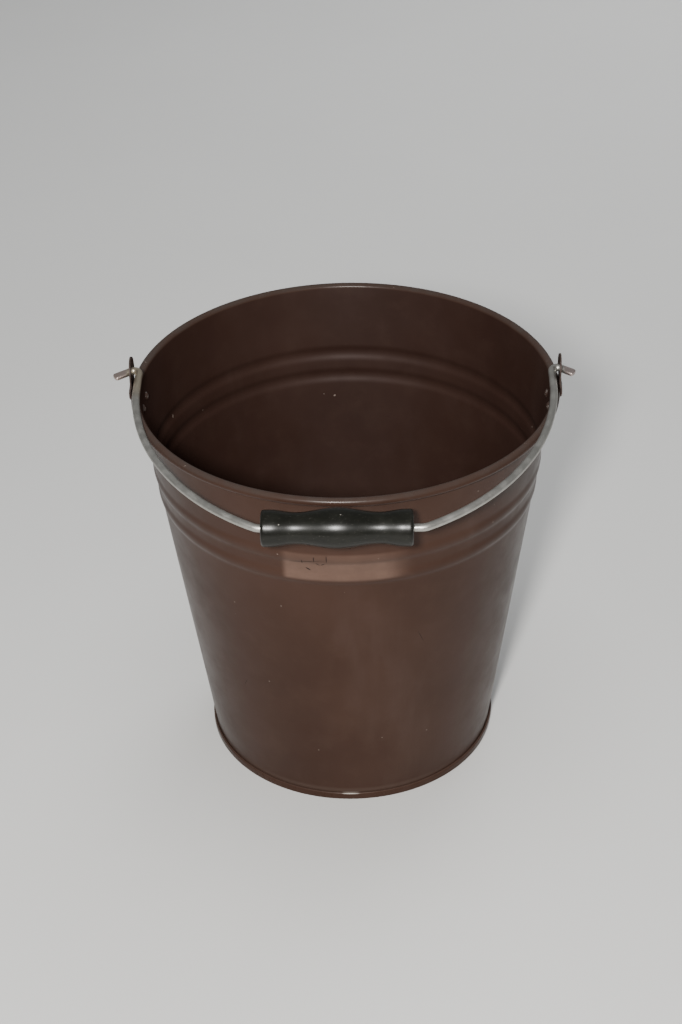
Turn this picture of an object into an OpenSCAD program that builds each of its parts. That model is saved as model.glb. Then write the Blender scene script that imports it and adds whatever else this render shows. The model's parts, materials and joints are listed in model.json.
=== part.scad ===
// Painted steel bucket with a wire bail and a turned plastic hand grip.
// Z is up and the bucket stands on Z = 0. Its ears lie on the X axis, and the bail is
// folded down to the front, which is -Y.

/* [Bucket] */
// Height from the floor to the top of the rim
bucket_h = 278.5; // [230:0.5:340]
// Outside diameter over the curled rim
rim_d = 284; // [240:1:340]
// Outside diameter over the bottom seam
base_d = 205; // [165:1:230]
// Thickness of the sheet of the wall
wall_t = 0.5; // [0.4:0.05:0.65]

/* [Rim] */
// Outside diameter of the curl at the rim
curl_d = 5.7; // [4:0.1:8]
// How far the curl is rolled round
curl_turn = 322; // [270:1:330]

/* [Rings] */
// Depth of the upper ring's crest below the top of the rim
ring_upper = 52; // [40:0.5:60]
// Distance from the upper ring's crest down to the lower ring's crest
ring_pitch = 17.3; // [15:0.1:24]
// Width of each ring
ring_w = 13.5; // [8:0.5:14.5]
// How far each ring stands out of the wall
ring_h = 1; // [0.5:0.1:2.5]

/* [Bottom] */
// Thickness of the sheet of the bottom
bottom_t = 0.5; // [0.4:0.05:0.65]
// Height of the seam that joins the bottom to the wall
seam_h = 5.4; // [4.5:0.1:9]
// Height of the underside of the bottom above the floor
bottom_rise = 5; // [3.5:0.1:12]
// Radius of the bottom's corner, at the middle of the sheet
bottom_corner_r = 1.6; // [1:0.1:3]

/* [Ears] */
// Thickness of the ear plates
ear_t = 1; // [0.8:0.1:1.6]
// Height of the pivot above the top of the rim
pivot_rise = 8.9; // [8:0.1:16]
// Radius of the ear's rounded top
ear_top_r = 9.8; // [8.5:0.1:13]
// Width of the ear's foot
ear_foot_w = 26; // [24:0.5:34]
// Height of the ear's foot
ear_foot_h = 9.5; // [8:0.5:18]
// Distance between the ear's jog and the curl of the rim
ear_jog_gap = 0.4; // [0.3:0.1:3]
// Play of the hooked wire in the pivot hole, on each side
pivot_gap = 0.45; // [0.3:0.01:0.8]

/* [Rivets] */
// Distance between an ear's two rivets
rivet_pitch = 16.6; // [11:0.1:18]
// Diameter of a rivet's shank
rivet_d = 3.2; // [2.5:0.1:4]
// Diameter of a rivet's heads
rivet_head_d = 6; // [5:0.1:7]
// Height of a rivet's heads
rivet_head_h = 1.5; // [1:0.1:2]

/* [Bail] */
// Diameter of the wire
wire_d = 5; // [4:0.1:5.2]
// Distance from each ear's plate in to the middle of the bail's leg
leg_inset = 5.5; // [4.5:0.1:12]
// Straight wire left free at the ends of the grip, in all
seat_room = 5; // [5:0.1:12]
// Turn of the wire at each end of the straight stretch
shoulder_turn = 27.5; // [20:0.5:32]
// Radius of that turn
shoulder_r = 10; // [6:0.5:16]
// Lean of each hooked end towards the grip
hook_lean = 33; // [20:1:36]
// Length of the left hooked end beyond its ear
hook_out_left = 10; // [7:0.1:14]
// Length of the right hooked end beyond its ear
hook_out_right = 8.5; // [7:0.1:14]
// Thickness of the flattened hooked ends
hook_flat_t = 3.1; // [2.4:0.1:3.6]
// Width of the flattened hooked ends
hook_flat_w = 5.8; // [5:0.1:6.4]

/* [Grip] */
// Length of the grip
grip_l = 92; // [80:0.5:110]
// Diameter of the grip's middle
grip_mid_d = 24.8; // [22:0.1:25]
// Diameter of the grip's two waists
grip_waist_d = 19.2; // [17:0.1:21]
// Diameter of the grip's two ends
grip_end_d = 22.6; // [20:0.1:24]
// Distance from the middle of the grip to each waist
grip_waist_x = 25.6; // [22:0.1:30]
// How far the grip has slid along the wire
grip_slide = -2.2; // [-2.4:0.1:2.4]
// Least distance between the grip and the rim when the bail swings past it
grip_clear = 0.9; // [0.4:0.1:4]

/* [Hidden] */
$fn = 96;

// Largest turn and largest sag of the chords that stand for a bend
bend_step = 8;
bend_sag = 0.04;
// Sides of the bent wire, and how little thinner it is than the straight stretch it grows from
wire_sides = 18;
wire_step = 0.01;
seat_lap = 1;
// Clearance between sheets and rivets that are pressed together
fit_gap = 0.05;
// Clearance between the ear and the rim
ear_gap = 0.3;
// Radial clearance between the grip and the wire
grip_gap = 0.1;
// Distance between the folded bail and the curl of the rim
rest_gap = 0.42;
// Steepest fold of the bail that is looked at
fold_limit = 20;
// Level run at each end of the grip, the radius of its edges and the chords of its outline
grip_end_flat = 5;
grip_edge_r = 1.8;
grip_parts = 56;

// Seam, from inside out: bottom, wall, bottom hook, wall hook, bottom.
seam_fold_r = (wall_t + bottom_t) / 2 + fit_gap;
seam_outer_r = base_d / 2 - bottom_t / 2;
wall_hook_r = seam_outer_r - seam_fold_r;
bottom_hook_r = wall_hook_r - seam_fold_r;
wall_foot_r = bottom_hook_r - seam_fold_r;
seam_inner_r = wall_foot_r - seam_fold_r;
seam_corner_r = 0.5;
seam_play = 0.15;
seam_fold_z = seam_h - bottom_t / 2 - seam_fold_r;
wall_fold_z = bottom_t + fit_gap + wall_t / 2 + seam_fold_r;

// Wall: a straight line that touches the bend above the seam and the curl of the rim.
wall_bend_r = 4;
wall_bend_rise = 0.8;
wall_bend_z = seam_h + wall_bend_rise;
curl_r = (curl_d - wall_t) / 2;
curl_c = [rim_d / 2 - curl_d / 2, bucket_h - curl_d / 2];
bend_c = [wall_foot_r + wall_bend_r, wall_bend_z];
span = norm(curl_c - bend_c);
span_a = atan2(curl_c[1] - bend_c[1], curl_c[0] - bend_c[0]);
wall_a = span_a + asin((curl_r - wall_bend_r) / span);
wall_l = span * cos(wall_a - span_a);
wall_start = bend_c + wall_bend_r * [-sin(wall_a), cos(wall_a)];

// Rings: a crest with a fillet of the same radius on each side.
ring_a = 2 * atan(2 * ring_h / ring_w);
ring_r = ring_w / (4 * sin(ring_a));
ring_upper_s = wall_s(bucket_h - ring_upper);
ring_lower_s = wall_s(bucket_h - ring_upper - ring_pitch);

// Ears: a foot on the wall, a jog that clears the rim's curl and an upright plate.
ear_jog_a = 45;
ear_jog_r = 2;
ear_lean_a = 16;
ear_lean_r = 3;
ear_lean_in = 1;
ear_plate_r = curl_c[0] + curl_d / 2 + ear_gap + ear_t / 2;
ear_upper_r = ear_plate_r - ear_lean_in;
ear_foot_r = wall_t / 2 + fit_gap + ear_t / 2;
ear_jog_below = ((curl_r - ear_foot_r) * cos(ear_jog_a) + (curl_d + ear_t) / 2 + ear_jog_gap)
    / sin(ear_jog_a) + ear_jog_r * tan(ear_jog_a / 2);
ear_jog_s = wall_l - ear_jog_below;
ear_foot_s = ear_jog_s - ear_foot_h / sin(wall_a);
ear_corner_r = 3;
pivot_z = bucket_h + pivot_rise;
rivet_s = (ear_jog_s + ear_foot_s) / 2;

// Pivot: the hole is as wide as the leaning wire needs.
pivot_hole_d = wire_d / cos(hook_lean) + ear_t * tan(hook_lean) + 2 * pivot_gap;

// Bail, from the middle of the grip to a hooked end. The grip passes over the rim.
bail_leg_x = ear_upper_r - leg_inset;
bail_reach = norm(curl_c - [0, pivot_z]) + (curl_d + grip_mid_d) / 2 + grip_clear;
grip_seat = grip_l + seat_room;
hook_bend_r = (ear_upper_r - bail_leg_x) / (1 + sin(hook_lean));
leg_end = hook_bend_r * cos(hook_lean);
shoulder_x = grip_seat / 2 + shoulder_r * sin(shoulder_turn);
bow_r = (bail_leg_x - shoulder_x) / (1 - sin(shoulder_turn));
bow_end = bail_reach - shoulder_r * (1 - cos(shoulder_turn)) - bow_r * cos(shoulder_turn);
leg_l = bow_end - leg_end;
bail_steps = [
    [seat_lap, 0],
    [shoulder_r, -shoulder_turn],
    [bow_r, shoulder_turn - 90],
    [leg_l, 0],
    [hook_bend_r, 90 + hook_lean]
];
bail_frames = run_frames(bail_steps, [grip_seat / 2 - seat_lap, bail_reach], 0);
bail_probes = concat(
    [for (frame = bail_frames) frame[0]],
    [for (share = [0 : 0.1 : 1]) [bail_leg_x, leg_end + share * leg_l]]
);
bail_drop = fold_angle(0, fold_limit);

// Flattened end: how square its section gets, where it starts past the ear, and its rounded tip
flat_squareness = 0.4;
flat_clear = 1;
tip_l = 1.6;
tip_steps = [0, 30, 55, 75];
tip_narrowing = 0.7;

// Distance along the wall's straight line to the height z
function wall_s(z) = (z - wall_start[1]) / sin(wall_a);

// Point at the distance s along the wall's straight line and n outside it
function wall_point(s, n) = wall_start + s * [cos(wall_a), sin(wall_a)]
    + n * [sin(wall_a), -cos(wall_a)];

// Points on an arc about c
function arc_points(c, radius, from, to, parts) =
    [for (k = [0 : parts]) let (a = from + (to - from) * k / parts)
        c + radius * [cos(a), sin(a)]];

// Point at the distance n to the left of p
function side_point(p, heading, n) = p + n * [-sin(heading), cos(heading)];

// Point at the distance l ahead of p
function ahead(p, heading, l) = p + l * [cos(heading), sin(heading)];

// Number of chords that stand for a bend
function bend_parts(radius, turn) =
    ceil(abs(turn) / min(bend_step, 2 * acos(1 - bend_sag / radius)));

// Places and headings along a run of steps that starts at p.
// A step is [length, 0] for a straight, or [radius, turn] for a bend, left being positive.
function run_frames(steps, p, heading, i = 0) =
    i == len(steps) ? [[p, heading]]
    : steps[i][1] == 0 ? concat(
        [[p, heading]],
        run_frames(steps, ahead(p, heading, steps[i][0]), heading, i + 1))
    : let (
        turn = steps[i][1],
        arm = sign(turn) * steps[i][0],
        centre = side_point(p, heading, arm),
        parts = bend_parts(steps[i][0], turn)
    ) concat(
        [for (k = [0 : parts - 1]) let (h = heading + turn * k / parts)
            [side_point(centre, h, -arm), h]],
        run_frames(steps, side_point(centre, heading + turn, -arm), heading + turn, i + 1));

// Section of a sheet of thickness t along a run of steps
module sheet_run(steps, t, p, heading) {
    frames = run_frames(steps, p, heading);
    last = len(frames) - 1;
    polygon(concat(
        [for (k = [0 : last]) side_point(frames[k][0], frames[k][1], t / 2)],
        [for (k = [last : -1 : 0]) side_point(frames[k][0], frames[k][1], -t / 2)]
    ));
}

// Ring of points across a wire: half its width, half its thickness and how flat it is
function wire_ring(frame, half_w, half_t, flat) =
    [for (k = [0 : wire_sides - 1]) let (
        a = 360 * k / wire_sides,
        squareness = 1 - flat_squareness * flat,
        w = half_w * sign(cos(a)) * pow(abs(cos(a)), squareness),
        t = half_t * sign(sin(a)) * pow(abs(sin(a)), squareness),
        p = side_point(frame[0], frame[1], w)
    ) [p[0], p[1], t]];

// Solid through a list of rings
module ring_loft(rings) {
    last = len(rings) - 1;
    sides = len(rings[0]);
    polyhedron(
        points = [for (ring = rings) each ring],
        faces = concat(
            [[for (k = [0 : sides - 1]) k]],
            [for (j = [0 : last - 1], k = [0 : sides - 1]) let (next = (k + 1) % sides)
                [j * sides + k, (j + 1) * sides + k, (j + 1) * sides + next, j * sides + next]],
            [[for (k = [sides - 1 : -1 : 0]) last * sides + k]]
        ),
        convexity = 6
    );
}

// Steps of one ring in the wall
ring_steps = [[ring_r, -ring_a], [ring_r, 2 * ring_a], [ring_r, -ring_a]];

// Tapered wall with its two rings, its curled rim and the hook in the seam
module wall() {
    hook_top = seam_fold_z - seam_play;
    steps = concat(
        [
            [hook_top - wall_fold_z, 0],
            [seam_fold_r, -180],
            [wall_bend_z - wall_fold_z, 0],
            [wall_bend_r, wall_a - 90],
            [ring_lower_s - ring_w / 2, 0]
        ],
        ring_steps,
        [[ring_pitch / sin(wall_a) - ring_w, 0]],
        ring_steps,
        [
            [wall_l - ring_upper_s - ring_w / 2, 0],
            [curl_r, -curl_turn]
        ]
    );
    color("saddlebrown") difference() {
        rotate_extrude() sheet_run(steps, wall_t, [wall_hook_r, hook_top], -90);
        for (side = [-1, 1], place = [-1, 1]) at_rivet(side, place)
            cylinder(d = rivet_d + 2 * fit_gap, h = 4 * ear_t, center = true);
    }
}

// Pressed bottom, recessed above the floor and folded round the wall's hook
module bottom() {
    disc_z = bottom_rise + bottom_t / 2;
    floor_z = bottom_t / 2;
    steps = [
        [seam_inner_r - bottom_corner_r, 0],
        [bottom_corner_r, -90],
        [disc_z - bottom_corner_r - floor_z - seam_corner_r, 0],
        [seam_corner_r, 90],
        [seam_outer_r - seam_inner_r - 2 * seam_corner_r, 0],
        [seam_corner_r, 90],
        [seam_fold_z - floor_z - seam_corner_r, 0],
        [seam_fold_r, 180],
        [seam_fold_z - wall_fold_z - seam_play, 0]
    ];
    color("saddlebrown") rotate_extrude() sheet_run(steps, bottom_t, [0, disc_z], 0);
}

// Outline of an ear seen from the side, with the pivot at the origin
module ear_outline() {
    foot_z = wall_point(ear_foot_s, 0)[1] - pivot_z;
    side_z = wall_point(ear_jog_s, 0)[1] - pivot_z;
    half = ear_foot_w / 2;
    corner = [half - ear_corner_r, foot_z + ear_corner_r];
    // Each side of the neck touches the rounded top.
    touch_a = atan2(side_z, half) + acos(ear_top_r / norm([half, side_z]));
    polygon(concat(
        arc_points(corner, ear_corner_r, -90, 0, 6),
        [[half, side_z]],
        arc_points([0, 0], ear_top_r, touch_a, 180 - touch_a, 24),
        [[-half, side_z]],
        arc_points([-corner[0], corner[1]], ear_corner_r, 180, 270, 6)
    ));
}

// Ear on the +X side: its foot lies on the wall and its plate stands clear of the rim
module ear() {
    jog_out = ear_plate_r - wall_point(ear_jog_s, ear_foot_r)[0];
    jog_heading = wall_a - ear_jog_a;
    jog_bends = ear_jog_r * (sin(wall_a) - sin(jog_heading) + 1 - sin(jog_heading));
    lean_bends = 2 * ear_lean_r * (1 - cos(ear_lean_a));
    steps = [
        [ear_foot_h / sin(wall_a), 0],
        [ear_jog_r, -ear_jog_a],
        [(jog_out - jog_bends) / cos(jog_heading), 0],
        [ear_jog_r, 90 - jog_heading],
        [curl_d / 2, 0],
        [ear_lean_r, ear_lean_a],
        [(ear_lean_in - lean_bends) / sin(ear_lean_a), 0],
        [ear_lean_r, -ear_lean_a],
        [pivot_rise + 2 * ear_top_r, 0]
    ];
    sweep_a = 2 * asin(ear_foot_w / rim_d);
    difference() {
        intersection() {
            rotate(-sweep_a) rotate_extrude(angle = 2 * sweep_a)
                sheet_run(steps, ear_t, wall_point(ear_foot_s, ear_foot_r), wall_a);
            translate([rim_d / 4, 0, pivot_z]) rotate([90, 0, 90])
                linear_extrude(rim_d / 2) ear_outline();
        }
        translate([rim_d / 4, 0, pivot_z]) rotate([0, 90, 0])
            cylinder(d = pivot_hole_d, h = rim_d / 2);
        for (place = [-1, 1]) at_rivet(1, place)
            cylinder(d = rivet_d + 2 * fit_gap, h = 6 * ear_t, center = true);
    }
}

module left_ear() {
    color("saddlebrown") mirror([1, 0, 0]) ear();
}

module right_ear() {
    color("saddlebrown") ear();
}

// Frame of a rivet: its origin is at the middle of the wall's sheet, and +Z points out
module at_rivet(side, place) {
    point = wall_point(rivet_s, 0);
    turn = asin(rivet_pitch / 2 / point[0]);
    mirror([side < 0 ? 1 : 0, 0, 0]) rotate(place * turn)
        translate([point[0], 0, point[1]]) rotate([0, 180 - wall_a, 0]) children();
}

// Half section of a domed rivet head that stands on the X axis
module rivet_head() {
    dome_r = (pow(rivet_head_d / 2, 2) + pow(rivet_head_h, 2)) / (2 * rivet_head_h);
    intersection() {
        translate([0, rivet_head_h - dome_r]) circle(dome_r);
        square([rivet_head_d, rivet_head_h]);
    }
}

// Rivet through the wall and an ear's foot, with a head at each end
module rivet(side, place) {
    seat_out = wall_t / 2 + 2 * fit_gap + ear_t;
    seat_in = wall_t / 2 + fit_gap;
    color("gray") at_rivet(side, place) rotate_extrude() {
        translate([0, -seat_in]) square([rivet_d / 2, seat_in + seat_out]);
        translate([0, seat_out]) rivet_head();
        translate([0, -seat_in]) mirror([0, 1]) rivet_head();
    }
}

module rivet_left_back() {
    rivet(-1, 1);
}

module rivet_left_front() {
    rivet(-1, -1);
}

module rivet_right_back() {
    rivet(1, 1);
}

module rivet_right_front() {
    rivet(1, -1);
}

// Distance from the middle of the bail's wire, folded by an angle, to the middle of the curl
function curl_distance(drop) = min([for (p = bail_probes) norm([
    norm([p[0], p[1] * cos(drop)]) - curl_c[0],
    pivot_z - p[1] * sin(drop) - curl_c[1]
])]);

// Angle below level, between low and high, at which the bail comes down onto the curl
function fold_angle(low, high, i = 0) =
    let (middle = (low + high) / 2)
    i == 20 ? middle
    : curl_distance(middle) > (wire_d + curl_d) / 2 + rest_gap ? fold_angle(middle, high, i + 1)
    : fold_angle(low, middle, i + 1);

// Frame of the folded bail: X is the pivot axis and +Y points at the grip
module at_bail() {
    translate([0, 0, pivot_z]) rotate([bail_drop, 0, 0]) mirror([0, 1, 0]) children();
}

// Half of the bail, from the end of the straight stretch to a tip at the distance out past the ear
module half_bail(out) {
    hook_l = (ear_t / 2 + out) / cos(hook_lean);
    plate = bail_frames[len(bail_frames) - 1];
    wire_r = wire_d / 2 - wire_step;
    flat_start = (ear_t / 2 + flat_clear) / cos(hook_lean);
    ring_loft(concat(
        [for (frame = bail_frames) wire_ring(frame, wire_r, wire_r, 0)],
        [for (k = [0 : 4]) let (share = k / 4, smooth = share * share * (3 - 2 * share))
            wire_ring(
                [ahead(plate[0], plate[1], flat_start + share * hook_flat_w / 2), plate[1]],
                wire_r + smooth * (hook_flat_w / 2 - wire_r),
                wire_r + smooth * (hook_flat_t / 2 - wire_r),
                smooth)],
        [for (a = tip_steps) wire_ring(
            [ahead(plate[0], plate[1], hook_l - tip_l * (1 - sin(a))), plate[1]],
            hook_flat_w / 2 * cos(a * tip_narrowing),
            hook_flat_t / 2 * cos(a * tip_narrowing),
            1)]
    ));
}

// Bail wire: a bow with a straight middle, two legs and two hooked, flattened ends
module bail() {
    color("silver") at_bail() {
        translate([-grip_seat / 2, bail_reach, 0]) rotate([0, 90, 0])
            cylinder(d = wire_d, h = grip_seat);
        half_bail(hook_out_right);
        mirror([1, 0, 0]) half_bail(hook_out_left);
    }
}

// Radius of the grip at the distance x from its middle
function grip_r(x) =
    let (
        far = abs(x),
        inner = far < grip_waist_x,
        crest_d = inner ? grip_mid_d : grip_end_d,
        share = inner ? far / grip_waist_x
            : max(0, 1 - (far - grip_waist_x) / (grip_l / 2 - grip_end_flat - grip_waist_x))
    ) (grip_waist_d + (crest_d - grip_waist_d) * (1 + cos(180 * share)) / 2) / 2;

// Turned grip with a full middle, two waists and two flat ends
module grip() {
    half = grip_l / 2;
    bore_r = wire_d / 2 + grip_gap;
    end_z = half - grip_edge_r;
    color("dimgray") at_bail() translate([grip_slide, bail_reach, 0]) rotate([0, 90, 0])
        rotate_extrude() polygon(concat(
            [[bore_r, -half]],
            arc_points([grip_r(half) - grip_edge_r, -end_z], grip_edge_r, -90, 0, 4),
            [for (k = [1 : grip_parts - 1]) let (x = -end_z + 2 * end_z * k / grip_parts)
                [grip_r(x), x]],
            arc_points([grip_r(half) - grip_edge_r, end_z], grip_edge_r, 0, 90, 4),
            [[bore_r, half]]
        ));
}

wall();
bottom();
left_ear();
right_ear();
rivet_left_back();
rivet_left_front();
rivet_right_back();
rivet_right_front();
bail();
grip();
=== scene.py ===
"""Looks of a painted steel bucket with a wire bail and a turned plastic hand grip.

Everything is in metres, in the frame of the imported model: +Z is up, the ears and the bail's
pivot lie along X, and the folded bail lies towards -Y.
"""

import json
import math

import bpy
from mathutils import Matrix, Vector, noise


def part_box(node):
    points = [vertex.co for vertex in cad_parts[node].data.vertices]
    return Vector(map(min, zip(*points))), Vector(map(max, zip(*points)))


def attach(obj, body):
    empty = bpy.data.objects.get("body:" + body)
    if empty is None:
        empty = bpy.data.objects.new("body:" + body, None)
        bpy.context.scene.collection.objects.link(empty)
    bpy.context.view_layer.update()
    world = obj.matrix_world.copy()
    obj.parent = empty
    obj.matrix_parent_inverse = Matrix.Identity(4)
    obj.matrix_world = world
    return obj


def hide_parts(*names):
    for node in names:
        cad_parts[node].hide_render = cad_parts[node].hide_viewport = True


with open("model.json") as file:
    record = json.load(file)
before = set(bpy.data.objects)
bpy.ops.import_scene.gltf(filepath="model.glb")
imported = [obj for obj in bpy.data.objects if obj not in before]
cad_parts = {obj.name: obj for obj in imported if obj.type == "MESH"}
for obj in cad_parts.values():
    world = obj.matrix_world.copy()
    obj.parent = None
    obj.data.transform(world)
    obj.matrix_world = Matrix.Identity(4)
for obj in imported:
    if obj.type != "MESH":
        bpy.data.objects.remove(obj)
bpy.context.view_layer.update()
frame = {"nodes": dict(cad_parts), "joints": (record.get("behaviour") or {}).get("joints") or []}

# ---- Sizes: the overall ones come from the frame, and the sheet's own details stand here

MM = 0.001
JOINTS = {joint["name"]: joint for joint in frame["joints"]}
PIVOT = Vector(JOINTS["bail_swing"]["pos_m"])
GRIP_AXIS = Vector(JOINTS["grip_spin"]["pos_m"])
WALL_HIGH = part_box("wall")[1]
BOTTOM_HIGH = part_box("bottom")[1]
GRIP_LOW, GRIP_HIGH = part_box("grip")

RIM_R = WALL_HIGH.x
RIM_TOP = WALL_HIGH.z
BASE_R = BOTTOM_HIGH.x
SEAM_TOP = BOTTOM_HIGH.z
BAIL_REACH = (GRIP_AXIS - PIVOT).length
BAIL_DROP = math.atan2(PIVOT.z - GRIP_AXIS.z, -GRIP_AXIS.y)

# The sheet: its curl, rings and folded seam, and the slight waves of the wall
SHEET = 0.5 * MM
CURL_D = 5.7 * MM
CURL_TURN = 322
RING_DEPTHS = (52 * MM, 69.3 * MM)
RING_W = 13.5 * MM
RING_H = 1 * MM
BOTTOM_RISE = 5 * MM
BOTTOM_CORNER_R = 1.6 * MM
FOLD_GAP = 0.05 * MM
SEAM_CORNER_R = 0.5 * MM
SEAM_PLAY = 0.15 * MM
WALL_BEND_R = 4 * MM
WALL_BEND_RISE = 0.8 * MM
WAVE_H = 0.22 * MM
WAVES_ROUND = 2.2
WAVES_UP = 4
WAVE_FADE_LOW = 12
WAVE_FADE_HIGH = 5

# The bail: its seat in the grip, shoulders, legs and hooks, and the flattened ends
WIRE_D = 5 * MM
SEAT_ROOM = 5 * MM
LEG_X = 136.3 * MM
HOLE_X = 141.8 * MM
SHOULDER_TURN = 27.5
SHOULDER_R = 10 * MM
HOOK_LEAN = 33
HOOK_OUT_LEFT = 10.5 * MM
HOOK_OUT_RIGHT = 9 * MM
HOOK_FLAT_T = 3.1 * MM
HOOK_FLAT_W = 5.8 * MM
HOOK_FLAT_START = 1.9 * MM
HOOK_FLAT_RUN = 3.2 * MM
HOOK_FLAT_RINGS = 8
HOOK_TIP = 1.5 * MM
HOOK_TIP_DEGREES = (0, 20, 40, 58, 74, 84)
HOOK_TIP_TAPER = 0.75
HOOK_SQUARENESS = 0.45
WIRE_SIDES = 32

# The grip: its turned section, its bore and the line that the mould left
GRIP_END_FLAT = 5 * MM
GRIP_EDGE_R = 1.8 * MM
GRIP_MID_D = 24.8 * MM
GRIP_WAIST_D = 19.2 * MM
GRIP_END_D = 22.6 * MM
GRIP_WAIST_X = 25.6 * MM
GRIP_BORE_R = WIRE_D / 2 + 0.1 * MM
GRIP_MOULD_LINE = 0.07 * MM
GRIP_STATIONS = 110
GRIP_SIDES = 120

# The softened edges of the pressed ears and of the rivets
EAR_EDGE = 0.2 * MM
RIVET_EDGE = 0.1 * MM
EDGE_ANGLE = 40
EDGE_SEGMENTS = 3
WELD_GAP = 0.005 * MM
FLAT_ANGLE = 0.5

# Where the grip has worn the paint and a highlight is painted on it, from its middle and from the floor
RUB_HIGHLIGHT_LEFT = 38 * MM
RUB_HIGHLIGHT_RIGHT = 34 * MM
RUB_HIGHLIGHT_LOW = 208 * MM
RUB_HIGHLIGHT_HIGH = 222 * MM


def rgb(r, g, b):
    """An opaque colour, in linear values."""
    return (r, g, b, 1.0)


# The paint, outside and inside the bucket: the outside copy is lighter and the inside copy darker, as
# painted light and shade
PAINT_DARK = {"outside": rgb(0.0330, 0.0157, 0.0105), "inside": rgb(0.0232, 0.0104, 0.0074)}
PAINT_LIGHT = {"outside": rgb(0.0425, 0.0214, 0.0148), "inside": rgb(0.0310, 0.0149, 0.0108)}
PAINT_MOTTLE = {"outside": rgb(0.0530, 0.0300, 0.0222), "inside": rgb(0.0402, 0.0218, 0.0163)}
# The stretch worn by the grip: partly wear, partly a painted highlight.
PAINT_RUB_AND_HIGHLIGHT = rgb(0.190, 0.122, 0.094)
PAINT_ROUGH = {"outside": 0.36, "inside": 0.58}
PAINT_SPECULAR = {"outside": 0.12, "inside": 0.2}
PAINT_FILM = {"outside": 0.10, "inside": 0.03}
PAINT_FLAKES = {"outside": 0.05, "inside": 0.15}
# Dust; also used as painted light in the groove above the seam.
PAINT_DUST_AND_GROOVE_LIGHT = rgb(0.135, 0.105, 0.090)
PAINT_SPECK = rgb(0.33, 0.28, 0.24)
# A grey tint over the rim's curl: a painted sheen.
PAINT_RIM_SHEEN = rgb(0.040, 0.029, 0.0245)
PAINT_WORN = rgb(0.26, 0.21, 0.18)
PAINT_MARK = rgb(0.008, 0.005, 0.004)
# Colour of chips; outside it also paints a highlight on the seam's fold.
PAINT_CHIP = {"outside": rgb(0.42, 0.38, 0.34), "inside": rgb(0.25, 0.20, 0.17)}
RUB_AND_HIGHLIGHT_SHARE = 0.45
GROOVE_LIGHT_SHARE = 0.2

# The wire, the grip, the rivets and the floor
ZINC_DARK = rgb(0.355, 0.347, 0.320)
ZINC_LIGHT = rgb(0.420, 0.411, 0.384)
ZINC_GRIME = rgb(0.15, 0.138, 0.12)
ZINC_BEIGE = rgb(0.43, 0.36, 0.255)
ZINC_END = rgb(0.42, 0.33, 0.31)
PLASTIC_DARK = rgb(0.0042, 0.0042, 0.0030)
PLASTIC_LIGHT = rgb(0.0076, 0.0076, 0.0056)
PLASTIC_DUST = rgb(0.085, 0.080, 0.070)
PLASTIC_NICK = rgb(0.26, 0.24, 0.21)
RIVET_PAINT = rgb(0.030, 0.017, 0.013)
RIVET_BARE = rgb(0.26, 0.235, 0.215)
FLOOR_DARK = rgb(0.56, 0.555, 0.54)
FLOOR_LIGHT = rgb(0.60, 0.595, 0.58)

# How finely the meshes are made: along straights, round bends in degrees, and round the axis
STRAIGHT_STEP = 8 * MM
BEND_STEP = 5
SEGMENTS = 240


# ---- Meshes

def run(steps, start, heading, straight_step=STRAIGHT_STEP, bend_step=BEND_STEP):
    """Points with headings along steps: (length, 0) is a straight and (radius, turn) a bend.

    A bend to the left is positive.
    """
    x, z = start
    h = math.radians(heading)
    frames = [(x, z, h)]
    for size, turn in steps:
        parts = max(1, math.ceil(abs(turn) / bend_step if turn else size / straight_step))
        turned = math.radians(turn) / parts
        stride = 2 * size * math.sin(abs(turned) / 2) if turn else size / parts
        for _ in range(parts):
            x += stride * math.cos(h + turned / 2)
            z += stride * math.sin(h + turned / 2)
            h += turned
            frames.append((x, z, h))
    return frames


def beside(point, n):
    """The place at the distance n to the left of a point of a run."""
    x, z, h = point
    return x - n * math.sin(h), z + n * math.cos(h)


def new_object(name, vertices, faces, materials, sharp_angle=40):
    """An object from plain lists, smooth but for edges sharper than sharp_angle."""
    mesh = bpy.data.meshes.new(name)
    mesh.from_pydata(vertices, [], faces)
    mesh.validate()
    mesh.shade_smooth()
    mesh.set_sharp_from_angle(angle=math.radians(sharp_angle))
    for material in materials:
        mesh.materials.append(material)
    made = bpy.data.objects.new(name, mesh)
    bpy.context.scene.collection.objects.link(made)
    return made


def revolve(name, outline, materials, looks=None, shift=None):
    """Turns a closed outline of (radius, height) about Z.

    looks gives the material of each stretch, and shift the dents.
    """
    vertices, rings = [], []
    for radius, height in outline:
        if radius < 1e-6:
            rings.append([len(vertices)] * SEGMENTS)
            vertices.append((0, 0, height))
            continue
        rings.append(range(len(vertices), len(vertices) + SEGMENTS))
        for k in range(SEGMENTS):
            a = 2 * math.pi * k / SEGMENTS
            r = radius + (shift(a, height) if shift else 0)
            vertices.append((r * math.sin(a), -r * math.cos(a), height))
    faces, stretches = [], []
    for j, ring in enumerate(rings):
        after = rings[(j + 1) % len(rings)]
        for k in range(SEGMENTS):
            k2 = (k + 1) % SEGMENTS
            corners = list(dict.fromkeys((ring[k], after[k], after[k2], ring[k2])))
            if len(corners) > 2:
                faces.append(corners[::-1])
                stretches.append(j)
    made = new_object(name, vertices, faces, materials)
    if looks:
        for face, j in zip(made.data.polygons, stretches):
            face.material_index = looks[j]
    return made


def sheet_outline(frames, thickness):
    """Closed outline of a sheet along a run: its left side forwards, then its right side back."""
    half = thickness / 2
    return [beside(p, half) for p in frames] + [beside(p, -half) for p in reversed(frames)]


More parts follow.
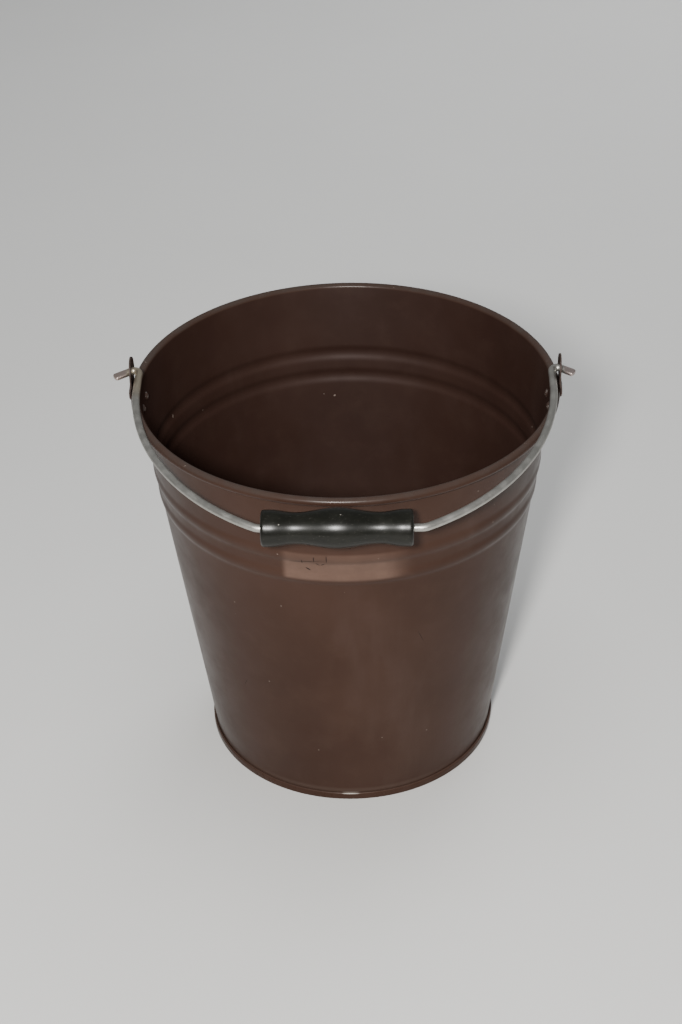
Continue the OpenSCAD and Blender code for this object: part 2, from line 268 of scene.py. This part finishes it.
def waviness(angle, height):
    """The slight waves of rolled sheet: none at the rim, at the seam and under the ears."""
    share = (height - SEAM_TOP) / (RIM_TOP - SEAM_TOP)
    from_seam = max(0.0, min(1.0, WAVE_FADE_LOW * share))
    from_rim = max(0.0, min(1.0, WAVE_FADE_HIGH * (1 - share)))
    fade = from_seam * from_rim * math.cos(angle) ** 2
    place = Vector((WAVES_ROUND * math.cos(angle), WAVES_ROUND * math.sin(angle), WAVES_UP * share))
    return WAVE_H * fade * noise.noise(place)


# ---- Materials

def add(tree, kind, inputs=(), **settings):
    """A node with its settings, and its inputs linked from sockets or set to plain values."""
    made = tree.nodes.new(kind)
    for key, value in settings.items():
        setattr(made, key, value)
    for key, value in dict(inputs).items():
        if isinstance(value, bpy.types.NodeSocket):
            tree.links.new(value, made.inputs[key])
        else:
            made.inputs[key].default_value = value
    return made


def math_of(tree, operation, a, b=0.0, clamp=False):
    """The result of a math node."""
    return add(tree, "ShaderNodeMath", {0: a, 1: b}, operation=operation, use_clamp=clamp).outputs[0]


def ramp(tree, value, low, high, to_low=0.0, to_high=1.0):
    """The value's smooth way from low to high, as to_low to to_high."""
    inputs = {"Value": value, "From Min": low, "From Max": high, "To Min": to_low, "To Max": to_high}
    return add(tree, "ShaderNodeMapRange", inputs, interpolation_type="SMOOTHSTEP").outputs[0]


def mix(tree, share, a, b):
    """Colour a turning into colour b as share goes from 0 to 1."""
    made = tree.nodes.new("ShaderNodeMix")
    made.data_type = "RGBA"
    for key, value in (("Factor", share), ("A", a), ("B", b)):
        socket = next(s for s in made.inputs if s.name == key and s.enabled)
        if isinstance(value, bpy.types.NodeSocket):
            tree.links.new(value, socket)
        else:
            socket.default_value = value
    return next(s for s in made.outputs if s.enabled)


def grain(tree, place, scale, detail=3.0, roughness=0.55, stretch=None):
    """Noise from 0 to 1 about a half, with scale in bumps per metre."""
    if stretch:
        place = add(tree, "ShaderNodeMapping", {"Vector": place, "Scale": stretch}).outputs[0]
    inputs = {"Vector": place, "Scale": scale, "Detail": detail, "Roughness": roughness}
    return add(tree, "ShaderNodeTexNoise", inputs).outputs["Fac"]


def specks(tree, place, scale, size, share):
    """Mask of small round specks: one in some cells of a grid of scale cells per metre."""
    cells = add(tree, "ShaderNodeTexVoronoi", {"Vector": place, "Scale": scale, "Randomness": 1.0})
    dot = ramp(tree, cells.outputs["Distance"], size, size * 0.5)
    chosen = add(tree, "ShaderNodeSeparateColor", {0: cells.outputs["Color"]}).outputs[0]
    return math_of(tree, "MULTIPLY", dot, math_of(tree, "LESS_THAN", chosen, share))


def bumps(tree, layers):
    """A normal through a chain of bump nodes, from (height, depth in metres) pairs."""
    normal = None
    for height, depth in layers:
        inputs = {"Height": height, "Distance": depth, "Strength": 1.0}
        if normal:
            inputs["Normal"] = normal
        normal = add(tree, "ShaderNodeBump", inputs).outputs[0]
    return normal


def material(name):
    """A new material with its tree, its shader and the object's own coordinates."""
    made = bpy.data.materials.new(name)
    made.use_nodes = True
    tree = made.node_tree
    shader = next(n for n in tree.nodes if n.type == "BSDF_PRINCIPLED")
    place = add(tree, "ShaderNodeTexCoord").outputs["Object"]
    return made, tree, shader, place


def finish_shader(tree, shader, colour, roughness, normal, metallic=None):
    """Links the parts of a finish to its shader."""
    tree.links.new(colour, shader.inputs["Base Color"])
    tree.links.new(roughness, shader.inputs["Roughness"])
    tree.links.new(normal, shader.inputs["Normal"])
    if metallic:
        tree.links.new(metallic, shader.inputs["Metallic"])


def scratches(tree, place, marks):
    """Mask of thin marks on the wall: degrees round from the front, height, length, width and tilt."""
    parts = add(tree, "ShaderNodeSeparateXYZ", {0: place})
    forward = math_of(tree, "MULTIPLY", parts.outputs["Y"], -1.0)
    angle = math_of(tree, "ARCTAN2", parts.outputs["X"], forward)
    arc = math_of(tree, "MULTIPLY", angle, RIM_R)
    flat = add(tree, "ShaderNodeCombineXYZ", {"X": arc, "Y": parts.outputs["Z"]}).outputs[0]
    total = None
    for degrees, height, length, width, tilt in marks:
        inputs = {
            "Vector": flat,
            "Location": (math.radians(degrees) * RIM_R, height, 0),
            "Rotation": (0, 0, math.radians(tilt)),
            "Scale": (width / 2, length / 2, 1),
        }
        local = add(tree, "ShaderNodeMapping", inputs, vector_type="TEXTURE").outputs[0]
        far = add(tree, "ShaderNodeVectorMath", {0: local}, operation="LENGTH").outputs["Value"]
        mark = ramp(tree, far, 1.0, 0.6)
        total = mark if total is None else math_of(tree, "MAXIMUM", total, mark)
    return total


OUTSIDE_MARKS = (
    (-8.1, 226.2 * MM, 5.0 * MM, 0.7 * MM, 2),
    (-4.6, 226.8 * MM, 7.0 * MM, 0.7 * MM, 0),
    (-7.1, 221.8 * MM, 4.0 * MM, 0.7 * MM, 55),
    (-5.7, 221.8 * MM, 4.0 * MM, 0.7 * MM, -60),
    (-11.5, 223.5 * MM, 4.0 * MM, 0.7 * MM, 5),
    (-9.9, 217.3 * MM, 4.8 * MM, 1.1 * MM, 60),
    (-10.2, 224.0 * MM, 30 * MM, 0.45 * MM, -82.3),
    (2.0, 236 * MM, 3.5 * MM, 0.5 * MM, 0),
    (24.0, 150 * MM, 16 * MM, 0.35 * MM, 28),
    (-38.0, 95 * MM, 11 * MM, 0.35 * MM, -35),
    (118.0, 170 * MM, 24 * MM, 0.4 * MM, 20),
    (163.0, 120 * MM, 18 * MM, 0.4 * MM, -50),
    (205.0, 206 * MM, 12 * MM, 0.5 * MM, 65),
    (-100.0, 60 * MM, 15 * MM, 0.4 * MM, 40),
)
OUTSIDE_CHIPS_AND_HIGHLIGHT = (
    (-36.4, 271.5 * MM, 4.0 * MM, 0.9 * MM, 62),
    (-35.4, 270.6 * MM, 2.0 * MM, 0.9 * MM, 20),
    # A painted highlight: a bright stroke along the top of the seam's fold at the front.
    (0.2, 5.1 * MM, 20.0 * MM, 0.65 * MM, 90),
)
INSIDE_CHIPS = (
    (-174.6, 193 * MM, 2.4 * MM, 1.6 * MM, 60),
    (-110.2, 225 * MM, 3.0 * MM, 1.6 * MM, 30),
)


def rub_and_highlight_patch(tree, place):
    """Mask of the stretch of the lower ring that the grip has worn smooth, with a painted highlight on
    it.
    """
    parts = add(tree, "ShaderNodeSeparateXYZ", {0: place})
    front = math_of(tree, "LESS_THAN", parts.outputs["Y"], 0.0)
    left = ramp(tree, parts.outputs["X"], -RUB_HIGHLIGHT_LEFT - 2 * MM, -RUB_HIGHLIGHT_LEFT + 3 * MM)
    right = ramp(tree, parts.outputs["X"], RUB_HIGHLIGHT_RIGHT + 12 * MM, RUB_HIGHLIGHT_RIGHT - 12 * MM)
    low = ramp(tree, parts.outputs["Z"], RUB_HIGHLIGHT_LOW - 1 * MM, RUB_HIGHLIGHT_LOW + 2 * MM)
    high = ramp(tree, parts.outputs["Z"], RUB_HIGHLIGHT_HIGH + 9 * MM, RUB_HIGHLIGHT_HIGH + 7 * MM)
    fade = ramp(tree, parts.outputs["Z"], RUB_HIGHLIGHT_HIGH + 2 * MM, RUB_HIGHLIGHT_HIGH - 1 * MM, 0.45, 1.0)
    high = math_of(tree, "MULTIPLY", high, fade)
    across = math_of(tree, "MULTIPLY", math_of(tree, "MULTIPLY", left, right), front)
    return math_of(tree, "MULTIPLY", across, math_of(tree, "MULTIPLY", low, high))


def brown_paint(name, face):
    """Dark brown satin paint with metal flakes, a painted grey sheen on the rim, worn edges, specks and
    chips.

    Outside it also has fine scratches, a painted highlight on the seam's fold, and the stretch that the
    grip has worn smooth, with a painted highlight on it.
    """
    made, tree, shader, place = material(name)
    rough = PAINT_ROUGH[face]
    height = add(tree, "ShaderNodeSeparateXYZ", {0: place}).outputs["Z"]
    clouds = grain(tree, place, 9, 4)
    mottle = grain(tree, place, 60, 5, 0.6)
    colour = mix(tree, ramp(tree, clouds, 0.3, 0.7), PAINT_DARK[face], PAINT_LIGHT[face])
    colour = mix(tree, ramp(tree, mottle, 0.45, 0.8, 0.0, 0.3), colour, PAINT_MOTTLE[face])
    # A thin film of dust lies in soft streaks down the wall.
    streaks = grain(tree, place, 26, 4, 0.6, stretch=(1.0, 1.0, 0.18))
    film = ramp(tree, streaks, 0.5, 0.85, 0.0, PAINT_FILM[face])
    colour = mix(tree, film, colour, PAINT_DUST_AND_GROOVE_LIGHT)
    dust = specks(tree, place, 95, 0.06, 0.16)
    colour = mix(tree, math_of(tree, "MULTIPLY", dust, 0.4), colour, PAINT_SPECK)
    # The rim's curl is greyed as a painted sheen, and the paint is worn thin on the curl and at the
    # seam's foot.
    worn_noise = grain(tree, place, 240, 4, 0.65)
    on_rim = ramp(tree, height, RIM_TOP - 3.2 * MM, RIM_TOP - 0.6 * MM)
    on_foot = ramp(tree, height, 1.6 * MM, 0.2 * MM)
    edges = math_of(tree, "MAXIMUM", on_rim, on_foot)
    worn = math_of(tree, "MULTIPLY", edges, ramp(tree, worn_noise, 0.69, 0.76, 0.0, 0.7))
    uneven = ramp(tree, grain(tree, place, 70, 3), 0.35, 0.7, 0.6, 1.0)
    # A painted grey sheen over the rim's curl.
    rim_sheen = math_of(tree, "MULTIPLY", on_rim, uneven)
    colour = mix(tree, rim_sheen, colour, PAINT_RIM_SHEEN)
    colour = mix(tree, worn, colour, PAINT_WORN)
    layers = [
        (grain(tree, place, 16, 2), 0.8 * MM),
        (grain(tree, place, 700, 2), 0.02 * MM),
        (worn_noise, 0.03 * MM),
    ]
    smudges = grain(tree, place, 34, 5, 0.65)
    roughness = ramp(tree, smudges, 0.3, 0.75, rough - 0.05, rough + 0.06)
    if face == "outside":
        # The groove above the seam is lightened with the dust colour: painted light against its shade.
        groove_light = ramp(tree, height, SEAM_TOP + 5 * MM, SEAM_TOP + 1.5 * MM, 0.0, GROOVE_LIGHT_SHARE)
        above = ramp(tree, height, SEAM_TOP - 0.6 * MM, SEAM_TOP + 0.2 * MM)
        colour = mix(tree, math_of(tree, "MULTIPLY", groove_light, above), colour, PAINT_DUST_AND_GROOVE_LIGHT)
        # The stretch of the lower ring that the grip has worn is lighter: partly wear, partly a painted
        # highlight.
        mottled = ramp(tree, mottle, 0.2, 0.7, 0.7, 1.0)
        rub_and_highlight_mask = math_of(tree, "MULTIPLY", rub_and_highlight_patch(tree, place), mottled)
        colour = mix(tree, math_of(tree, "MULTIPLY", rub_and_highlight_mask, RUB_AND_HIGHLIGHT_SHARE), colour, PAINT_RUB_AND_HIGHLIGHT)
        marks = scratches(tree, place, OUTSIDE_MARKS)
        colour = mix(tree, marks, colour, PAINT_MARK)
        # Chips of bare metal, and a painted highlight along the seam's fold.
        chips = scratches(tree, place, OUTSIDE_CHIPS_AND_HIGHLIGHT)
        colour = mix(tree, math_of(tree, "MULTIPLY", chips, 0.8), colour, PAINT_CHIP[face])
        roughness = math_of(tree, "ADD", roughness, math_of(tree, "MULTIPLY", marks, 0.3), clamp=True)
        layers.append((math_of(tree, "SUBTRACT", 1.0, marks), 0.08 * MM))
    else:
        chips = scratches(tree, place, INSIDE_CHIPS)
        colour = mix(tree, math_of(tree, "MULTIPLY", chips, 0.6), colour, PAINT_CHIP[face])
    roughness = math_of(tree, "ADD", roughness, math_of(tree, "MULTIPLY", film, 0.3), clamp=True)
    on_seam = ramp(tree, height, SEAM_TOP + 0.5 * MM, SEAM_TOP - 0.5 * MM)
    glossy = math_of(tree, "MAXIMUM", on_rim, on_seam)
    roughness = math_of(tree, "SUBTRACT", roughness, math_of(tree, "MULTIPLY", glossy, 0.08))
    shader.inputs["Specular IOR Level"].default_value = PAINT_SPECULAR[face]
    shader.inputs["Metallic"].default_value = PAINT_FLAKES[face]
    finish_shader(tree, shader, colour, roughness, bumps(tree, layers))
    return made


def zinc_wire():
    """Dull zinc-coated wire, mottled and grimy, with bare flattened ends."""
    made, tree, shader, place = material("zinc_wire")
    mottle = grain(tree, place, 130, 4, 0.6)
    colour = mix(tree, ramp(tree, mottle, 0.3, 0.7), ZINC_DARK, ZINC_LIGHT)
    grime = ramp(tree, grain(tree, place, 45, 5, 0.7), 0.52, 0.75, 0.0, 0.5)
    colour = mix(tree, grime, colour, ZINC_GRIME)
    # The left leg is beige below its hook.
    parts = add(tree, "ShaderNodeSeparateXYZ", {0: place})
    hooked = ramp(tree, parts.outputs["Y"], -36 * MM, -18 * MM, 0.0, 0.7)
    left = ramp(tree, parts.outputs["X"], -100 * MM, -120 * MM)
    colour = mix(tree, math_of(tree, "MULTIPLY", hooked, left), colour, ZINC_BEIGE)
    # The flattened ends are bare steel with a trace of pink primer.
    along = math_of(tree, "ABSOLUTE", parts.outputs["X"])
    ends = ramp(tree, along, HOLE_X + 1 * MM, HOLE_X + 4 * MM, 0.0, 0.75)
    colour = mix(tree, ends, colour, ZINC_END)
    roughness = ramp(tree, mottle, 0.3, 0.75, 0.34, 0.52)
    shader.inputs["Metallic"].default_value = 0.9
    layers = [(grain(tree, place, 420, 3, 0.6), 0.05 * MM), (grain(tree, place, 90, 2), 0.12 * MM)]
    finish_shader(tree, shader, colour, roughness, bumps(tree, layers))
    return made


def black_plastic():
    """Black moulded plastic with a satin skin, a little dust and small nicks."""
    made, tree, shader, place = material("black_plastic")
    clouds = grain(tree, place, 70, 4)
    colour = mix(tree, ramp(tree, clouds, 0.3, 0.7), PLASTIC_DARK, PLASTIC_LIGHT)
    dust = ramp(tree, grain(tree, place, 900, 3, 0.7), 0.60, 0.72, 0.0, 0.35)
    colour = mix(tree, dust, colour, PLASTIC_DUST)
    nicks = specks(tree, place, 160, 0.12, 0.10)
    colour = mix(tree, math_of(tree, "MULTIPLY", nicks, 0.7), colour, PLASTIC_NICK)
    roughness = ramp(tree, clouds, 0.3, 0.75, 0.285, 0.35)
    shader.inputs["Specular IOR Level"].default_value = 0.25
    layers = [
        (grain(tree, place, 1500, 2), 0.012 * MM),
        (grain(tree, place, 120, 3, stretch=(0.25, 1, 1)), 0.10 * MM),
        (math_of(tree, "SUBTRACT", 1.0, nicks), 0.10 * MM),
    ]
    finish_shader(tree, shader, colour, roughness, bumps(tree, layers))
    return made


def rivet_steel():
    """Dull steel rivets with brown paint left on them."""
    made, tree, shader, place = material("rivet_steel")
    worn = ramp(tree, grain(tree, place, 420, 4, 0.6), 0.50, 0.64)
    colour = mix(tree, worn, RIVET_PAINT, RIVET_BARE)
    roughness = ramp(tree, worn, 0.0, 1.0, 0.28, 0.30)
    metallic = ramp(tree, worn, 0.0, 1.0, 0.0, 0.9)
    layers = [(grain(tree, place, 600, 3), 0.05 * MM)]
    finish_shader(tree, shader, colour, roughness, bumps(tree, layers), metallic)
    return made


def pale_floor():
    """Plain pale floor, very slightly mottled."""
    made, tree, shader, place = material("pale_floor")
    colour = mix(tree, grain(tree, place, 3, 3), FLOOR_DARK, FLOOR_LIGHT)
    roughness = ramp(tree, grain(tree, place, 40, 3), 0.2, 0.8, 0.75, 0.9)
    layers = [(grain(tree, place, 300, 2), 0.05 * MM)]
    finish_shader(tree, shader, colour, roughness, bumps(tree, layers))
    return made


# ---- Pieces

def tube_faces(stretches, sides, count):
    """Faces between each of count rings and the next one, for so many stretches."""
    faces = []
    for j in range(stretches):
        after = (j + 1) % count
        for k in range(sides):
            k2 = (k + 1) % sides
            faces.append((j * sides + k, j * sides + k2, after * sides + k2, after * sides + k))
    return faces


def wall_frames():
    """The wall's run from its hook in the seam up to its curl, and where the curl starts."""
    fold_r = SHEET + FOLD_GAP
    hook_r = BASE_R - SHEET / 2 - fold_r
    foot_r = hook_r - 2 * fold_r
    fold_z = SHEET * 1.5 + FOLD_GAP + fold_r
    hook_top = SEAM_TOP - SHEET / 2 - fold_r - SEAM_PLAY
    bend_z = SEAM_TOP + WALL_BEND_RISE
    curl_r = (CURL_D - SHEET) / 2
    curl = Vector((RIM_R - CURL_D / 2, RIM_TOP - CURL_D / 2))
    bend = Vector((foot_r + WALL_BEND_R, bend_z))
    span = curl - bend
    slope = math.atan2(span.y, span.x) + math.asin((curl_r - WALL_BEND_R) / span.length)
    length = span.length * math.cos(slope - math.atan2(span.y, span.x))
    start_z = bend_z + WALL_BEND_R * math.cos(slope)
    crest = [(RIM_TOP - depth - start_z) / math.sin(slope) for depth in RING_DEPTHS]
    ring_a = math.degrees(2 * math.atan(2 * RING_H / RING_W))
    ring_r = RING_W / (4 * math.sin(math.radians(ring_a)))
    ring = [(ring_r, -ring_a), (ring_r, 2 * ring_a), (ring_r, -ring_a)]
    steps = [
        (hook_top - fold_z, 0),
        (fold_r, -180),
        (bend_z - fold_z, 0),
        (WALL_BEND_R, math.degrees(slope) - 90),
        (crest[1] - RING_W / 2, 0),
        *ring,
        (crest[0] - crest[1] - RING_W, 0),
        *ring,
        (length - crest[0] - RING_W / 2, 0),
    ]
    below = run(steps, (hook_r, hook_top), -90)
    return run([*steps, (curl_r, -CURL_TURN)], (hook_r, hook_top), -90), len(below)


def make_wall(outside, inside):
    """Tapered wall in one sheet, with two rings and a curled rim."""
    frames, curl_start = wall_frames()
    outline = sheet_outline(frames, SHEET)
    looks = [1 if j < curl_start - 1 else 0 for j in range(len(outline))]
    return revolve("bucket_wall", outline, [outside, inside], looks, waviness)


def make_bottom(outside, inside):
    """Pressed bottom, folded round the wall's hook in a double seam."""
    fold_r = SHEET + FOLD_GAP
    outer_r = BASE_R - SHEET / 2
    inner_r = outer_r - 4 * fold_r
    disc_z = BOTTOM_RISE + SHEET / 2
    floor_z = SHEET / 2
    fold_z = SEAM_TOP - SHEET / 2 - fold_r
    wall_fold_z = SHEET * 1.5 + FOLD_GAP + fold_r
    steps = [
        (inner_r - BOTTOM_CORNER_R, 0),
        (BOTTOM_CORNER_R, -90),
        (disc_z - BOTTOM_CORNER_R - floor_z - SEAM_CORNER_R, 0),
        (SEAM_CORNER_R, 90),
        (outer_r - inner_r - 2 * SEAM_CORNER_R, 0),
        (SEAM_CORNER_R, 90),
        (fold_z - floor_z - SEAM_CORNER_R, 0),
        (fold_r, 180),
        (fold_z - wall_fold_z - SEAM_PLAY, 0),
    ]
    frames = run(steps, (0, disc_z), 0, bend_step=12)
    outline = sheet_outline(frames, SHEET)
    disc = math.ceil((inner_r - BOTTOM_CORNER_R) / STRAIGHT_STEP) + 2
    looks = [1 if j < disc else 0 for j in range(len(outline))]
    return revolve("bucket_bottom", outline, [outside, inside], looks)


def bail_place(x, y, z=0.0):
    """A point of the folded bail's plane, y from the pivot towards the grip."""
    c, s = math.cos(BAIL_DROP), math.sin(BAIL_DROP)
    return (x, -y * c - z * s, PIVOT.z - y * s + z * c)


def half_bail():
    """Run of the wire from the middle of its straight stretch to the start of a flattened end."""
    seat = (GRIP_HIGH.x - GRIP_LOW.x + SEAT_ROOM) / 2
    shoulder, lean = math.radians(SHOULDER_TURN), math.radians(HOOK_LEAN)
    hook_r = (HOLE_X - LEG_X) / (1 + math.sin(lean))
    bow_r = (LEG_X - seat - SHOULDER_R * math.sin(shoulder)) / (1 - math.sin(shoulder))
    bow_end = BAIL_REACH - SHOULDER_R * (1 - math.cos(shoulder)) - bow_r * math.cos(shoulder)
    steps = [
        (seat, 0),
        (SHOULDER_R, -SHOULDER_TURN),
        (bow_r, SHOULDER_TURN - 90),
        (bow_end - hook_r * math.cos(lean), 0),
        (hook_r, 90 + HOOK_LEAN),
    ]
    return run(steps, (0, BAIL_REACH), 0, straight_step=3 * MM, bend_step=1.5), lean


def wire_ring(point, half_w, half_t, flat):
    """Ring of points across the wire, round where flat is 0 and nearly square where it is 1."""
    power = 1 - HOOK_SQUARENESS * flat
    ring = []
    for k in range(WIRE_SIDES):
        a = 2 * math.pi * k / WIRE_SIDES
        c, s = math.cos(a), math.sin(a)
        x, y = beside(point, half_w * math.copysign(abs(c) ** power, c))
        ring.append((x, y, half_t * math.copysign(abs(s) ** power, s)))
    return ring


def half_rings(out):
    """Rings of the right half of the bail, to a flattened tip that reaches out past the ear."""
    frames, lean = half_bail()
    radius = WIRE_D / 2
    rings = [wire_ring(p, radius, radius, 0) for p in frames]
    hook = frames[-1]

    def ahead(distance):
        return hook[0] + distance * math.cos(hook[2]), hook[1] + distance * math.sin(hook[2]), hook[2]

    reach = out / math.cos(lean)
    for k in range(HOOK_FLAT_RINGS + 1):
        share = k / HOOK_FLAT_RINGS
        smooth = share * share * (3 - 2 * share)
        half_w = radius + smooth * (HOOK_FLAT_W / 2 - radius)
        half_t = radius + smooth * (HOOK_FLAT_T / 2 - radius)
        rings.append(wire_ring(ahead(HOOK_FLAT_START + share * HOOK_FLAT_RUN), half_w, half_t, smooth))
    for degrees in HOOK_TIP_DEGREES:
        a = math.radians(degrees)
        scale = math.cos(HOOK_TIP_TAPER * a)
        point = ahead(reach - HOOK_TIP * (1 - math.sin(a)))
        rings.append(wire_ring(point, HOOK_FLAT_W / 2 * scale, HOOK_FLAT_T / 2 * scale, 1))
    return rings


def make_bail(finish):
    """Bail wire: a bow with a straight middle, two legs and two hooked, flattened ends."""
    left = [[(-x, y, z) for x, y, z in ring] for ring in reversed(half_rings(HOOK_OUT_LEFT)[1:])]
    rings = left + half_rings(HOOK_OUT_RIGHT)
    vertices = [bail_place(*p) for ring in rings for p in ring]
    last = len(vertices) - 1
    faces = [tuple(range(WIRE_SIDES)), tuple(range(last, last - WIRE_SIDES, -1))]
    faces += tube_faces(len(rings) - 1, WIRE_SIDES, len(rings))
    return new_object("bail_wire", vertices, faces, [finish], sharp_angle=50)


def grip_r(x):
    """Radius of the grip at the distance x from its middle."""
    far = abs(x)
    half = (GRIP_HIGH.x - GRIP_LOW.x) / 2
    if far < GRIP_WAIST_X:
        crest, share = GRIP_MID_D, far / GRIP_WAIST_X
    else:
        crest = GRIP_END_D
        share = max(0.0, 1 - (far - GRIP_WAIST_X) / (half - GRIP_END_FLAT - GRIP_WAIST_X))
    return (GRIP_WAIST_D + (crest - GRIP_WAIST_D) * (1 + math.cos(math.pi * share)) / 2) / 2


def make_grip(finish):
    """Turned grip with a full middle, two waists, rounded ends and a faint mould line."""
    half = (GRIP_HIGH.x - GRIP_LOW.x) / 2
    middle_x = (GRIP_HIGH.x + GRIP_LOW.x) / 2
    corner = half - GRIP_EDGE_R
    outline = [(-half, GRIP_BORE_R)]
    arc = [math.radians(a) for a in range(0, 91, 15)]
    end_r = grip_r(half) - GRIP_EDGE_R
    outline += [(-corner - GRIP_EDGE_R * math.cos(a), end_r + GRIP_EDGE_R * math.sin(a)) for a in arc]
    stations = [-corner + 2 * corner * k / GRIP_STATIONS for k in range(1, GRIP_STATIONS)]
    outline += [(x, grip_r(x)) for x in stations]
    outline += [(corner + GRIP_EDGE_R * math.sin(a), end_r + GRIP_EDGE_R * math.cos(a)) for a in arc]
    outline += [(half, GRIP_BORE_R)]
    centre = Vector((middle_x, GRIP_AXIS.y, GRIP_AXIS.z))
    vertices = []
    for x, r in outline:
        for k in range(GRIP_SIDES):
            a = 2 * math.pi * k / GRIP_SIDES
            on_line = k % (GRIP_SIDES // 2) == GRIP_SIDES // 6 and r > GRIP_BORE_R
            ridge = GRIP_MOULD_LINE if on_line else 0
            offset = Vector((x, (r + ridge) * math.cos(a), (r + ridge) * math.sin(a)))
            vertices.append(centre + offset)
    faces = tube_faces(len(outline), GRIP_SIDES, len(outline))
    return new_object("hand_grip", vertices, faces, [finish], sharp_angle=60)


# ---- Floor, light and camera

WARM_WHITE = (1.0, 0.985, 0.96)
COOL_WHITE = (0.97, 0.985, 1.0)
ROOM_COLOUR = rgb(0.80, 0.82, 0.84)
ROOM_STRENGTH = 0.29
CAMERA_PLACE = (0.0341, -1.1366, 0.9492)
CAMERA_YAW = -1.97
CAMERA_PITCH = 34.295
CAMERA_ROLL = -1.446
CAMERA_LENS = 69.8
FLOOR_HALF = 6


def make_floor(finish):
    """A wide flat floor."""
    h = FLOOR_HALF
    corners = [(-h, -h, 0), (h, -h, 0), (h, h, 0), (-h, h, 0)]
    floor = new_object("floor", corners, [(0, 1, 2, 3)], [finish])


def area_light(name, place, target, size, watts, colour, glossy=True):
    """A round soft light that faces its target. Without glossy it doesn't show in reflections."""
    data = bpy.data.lights.new(name, "AREA")
    data.shape = "DISK"
    data.size = size
    data.energy = watts
    data.color = colour
    lamp = bpy.data.objects.new(name, data)
    lamp.location = place
    lamp.rotation_mode = "QUATERNION"
    lamp.rotation_quaternion = (Vector(target) - Vector(place)).to_track_quat("-Z", "Y")
    lamp.visible_glossy = glossy
    bpy.context.scene.collection.objects.link(lamp)


def make_light():
    """A soft key just left of the camera, broad fills above and behind, and an even room."""
    middle = (0, 0, RIM_TOP / 2)
    area_light("key", (-0.08, -1.15, 0.99), middle, 0.13, 34, WARM_WHITE)
    area_light("overhead", (-0.3, 1.5, 2.2), (0, 1.3, 0), 1.8, 8, COOL_WHITE, glossy=False)
    area_light("top_fill", (0, -0.05, 1.9), middle, 0.9, 9, COOL_WHITE, glossy=False)
    area_light("back_fill", (0.7, 1.7, 1.3), middle, 1.4, 22, COOL_WHITE, glossy=False)
    world = bpy.data.worlds.new("room")
    world.use_nodes = True
    room = next(n for n in world.node_tree.nodes if n.type == "BACKGROUND")
    room.inputs["Color"].default_value = ROOM_COLOUR
    room.inputs["Strength"].default_value = ROOM_STRENGTH
    bpy.context.scene.world = world


def make_camera():
    """The camera looks down at the front of the bucket, a little from the right."""
    yaw = math.radians(CAMERA_YAW)
    pitch = math.radians(CAMERA_PITCH)
    roll = math.radians(CAMERA_ROLL)
    ahead = Vector((math.sin(yaw) * math.cos(pitch), math.cos(yaw) * math.cos(pitch), -math.sin(pitch)))
    level = Vector((math.cos(yaw), -math.sin(yaw), 0))
    upright = level.cross(ahead)
    right = math.cos(roll) * level + math.sin(roll) * upright
    up = math.cos(roll) * upright - math.sin(roll) * level
    data = bpy.data.cameras.new("camera")
    data.sensor_width = 36
    data.lens = CAMERA_LENS
    data.clip_start = 0.05
    camera = bpy.data.objects.new("camera", data)
    turn = Matrix((right, up, -ahead)).transposed().to_4x4()
    camera.matrix_world = Matrix.Translation(CAMERA_PLACE) @ turn
    bpy.context.scene.collection.objects.link(camera)
    bpy.context.scene.camera = camera


# ---- The scene

make_camera()
make_light()
make_floor(pale_floor())

paint_outside = brown_paint("brown_paint_outside", "outside")
paint_inside = brown_paint("brown_paint_inside", "inside")
steel = rivet_steel()

PIECES = (
    (make_wall(paint_outside, paint_inside), "bucket", "wall", "brown_paint"),
    (make_bottom(paint_outside, paint_inside), "bucket", "bottom", "brown_paint"),
    (make_bail(zinc_wire()), "bail", "bail", "galvanised_wire"),
    (make_grip(black_plastic()), "grip", "grip", "black_plastic"),
)
for piece, body, node, slot in PIECES:
    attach(piece, body)
    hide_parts(node)


def finish_node(node, finish, edge):
    """Gives a CAD node its finish and softens its pressed edges."""
    piece = frame["nodes"][node]
    piece.data.materials.clear()
    piece.data.materials.append(finish)
    weld = piece.modifiers.new("weld", "WELD")
    weld.merge_threshold = WELD_GAP
    dissolve = piece.modifiers.new("flatten", "DECIMATE")
    dissolve.decimate_type = "DISSOLVE"
    dissolve.angle_limit = math.radians(FLAT_ANGLE)
    bevel = piece.modifiers.new("edges", "BEVEL")
    bevel.width = edge
    bevel.segments = EDGE_SEGMENTS
    bevel.limit_method = "ANGLE"
    bevel.angle_limit = math.radians(EDGE_ANGLE)
    bevel.harden_normals = True


for side in ("left", "right"):
    # The ears take the darker inside copy of the paint, as painted shade.
    finish_node(f"{side}_ear", paint_inside, EAR_EDGE)
    for end in ("back", "front"):
        finish_node(f"rivet_{side}_{end}", steel, RIVET_EDGE)
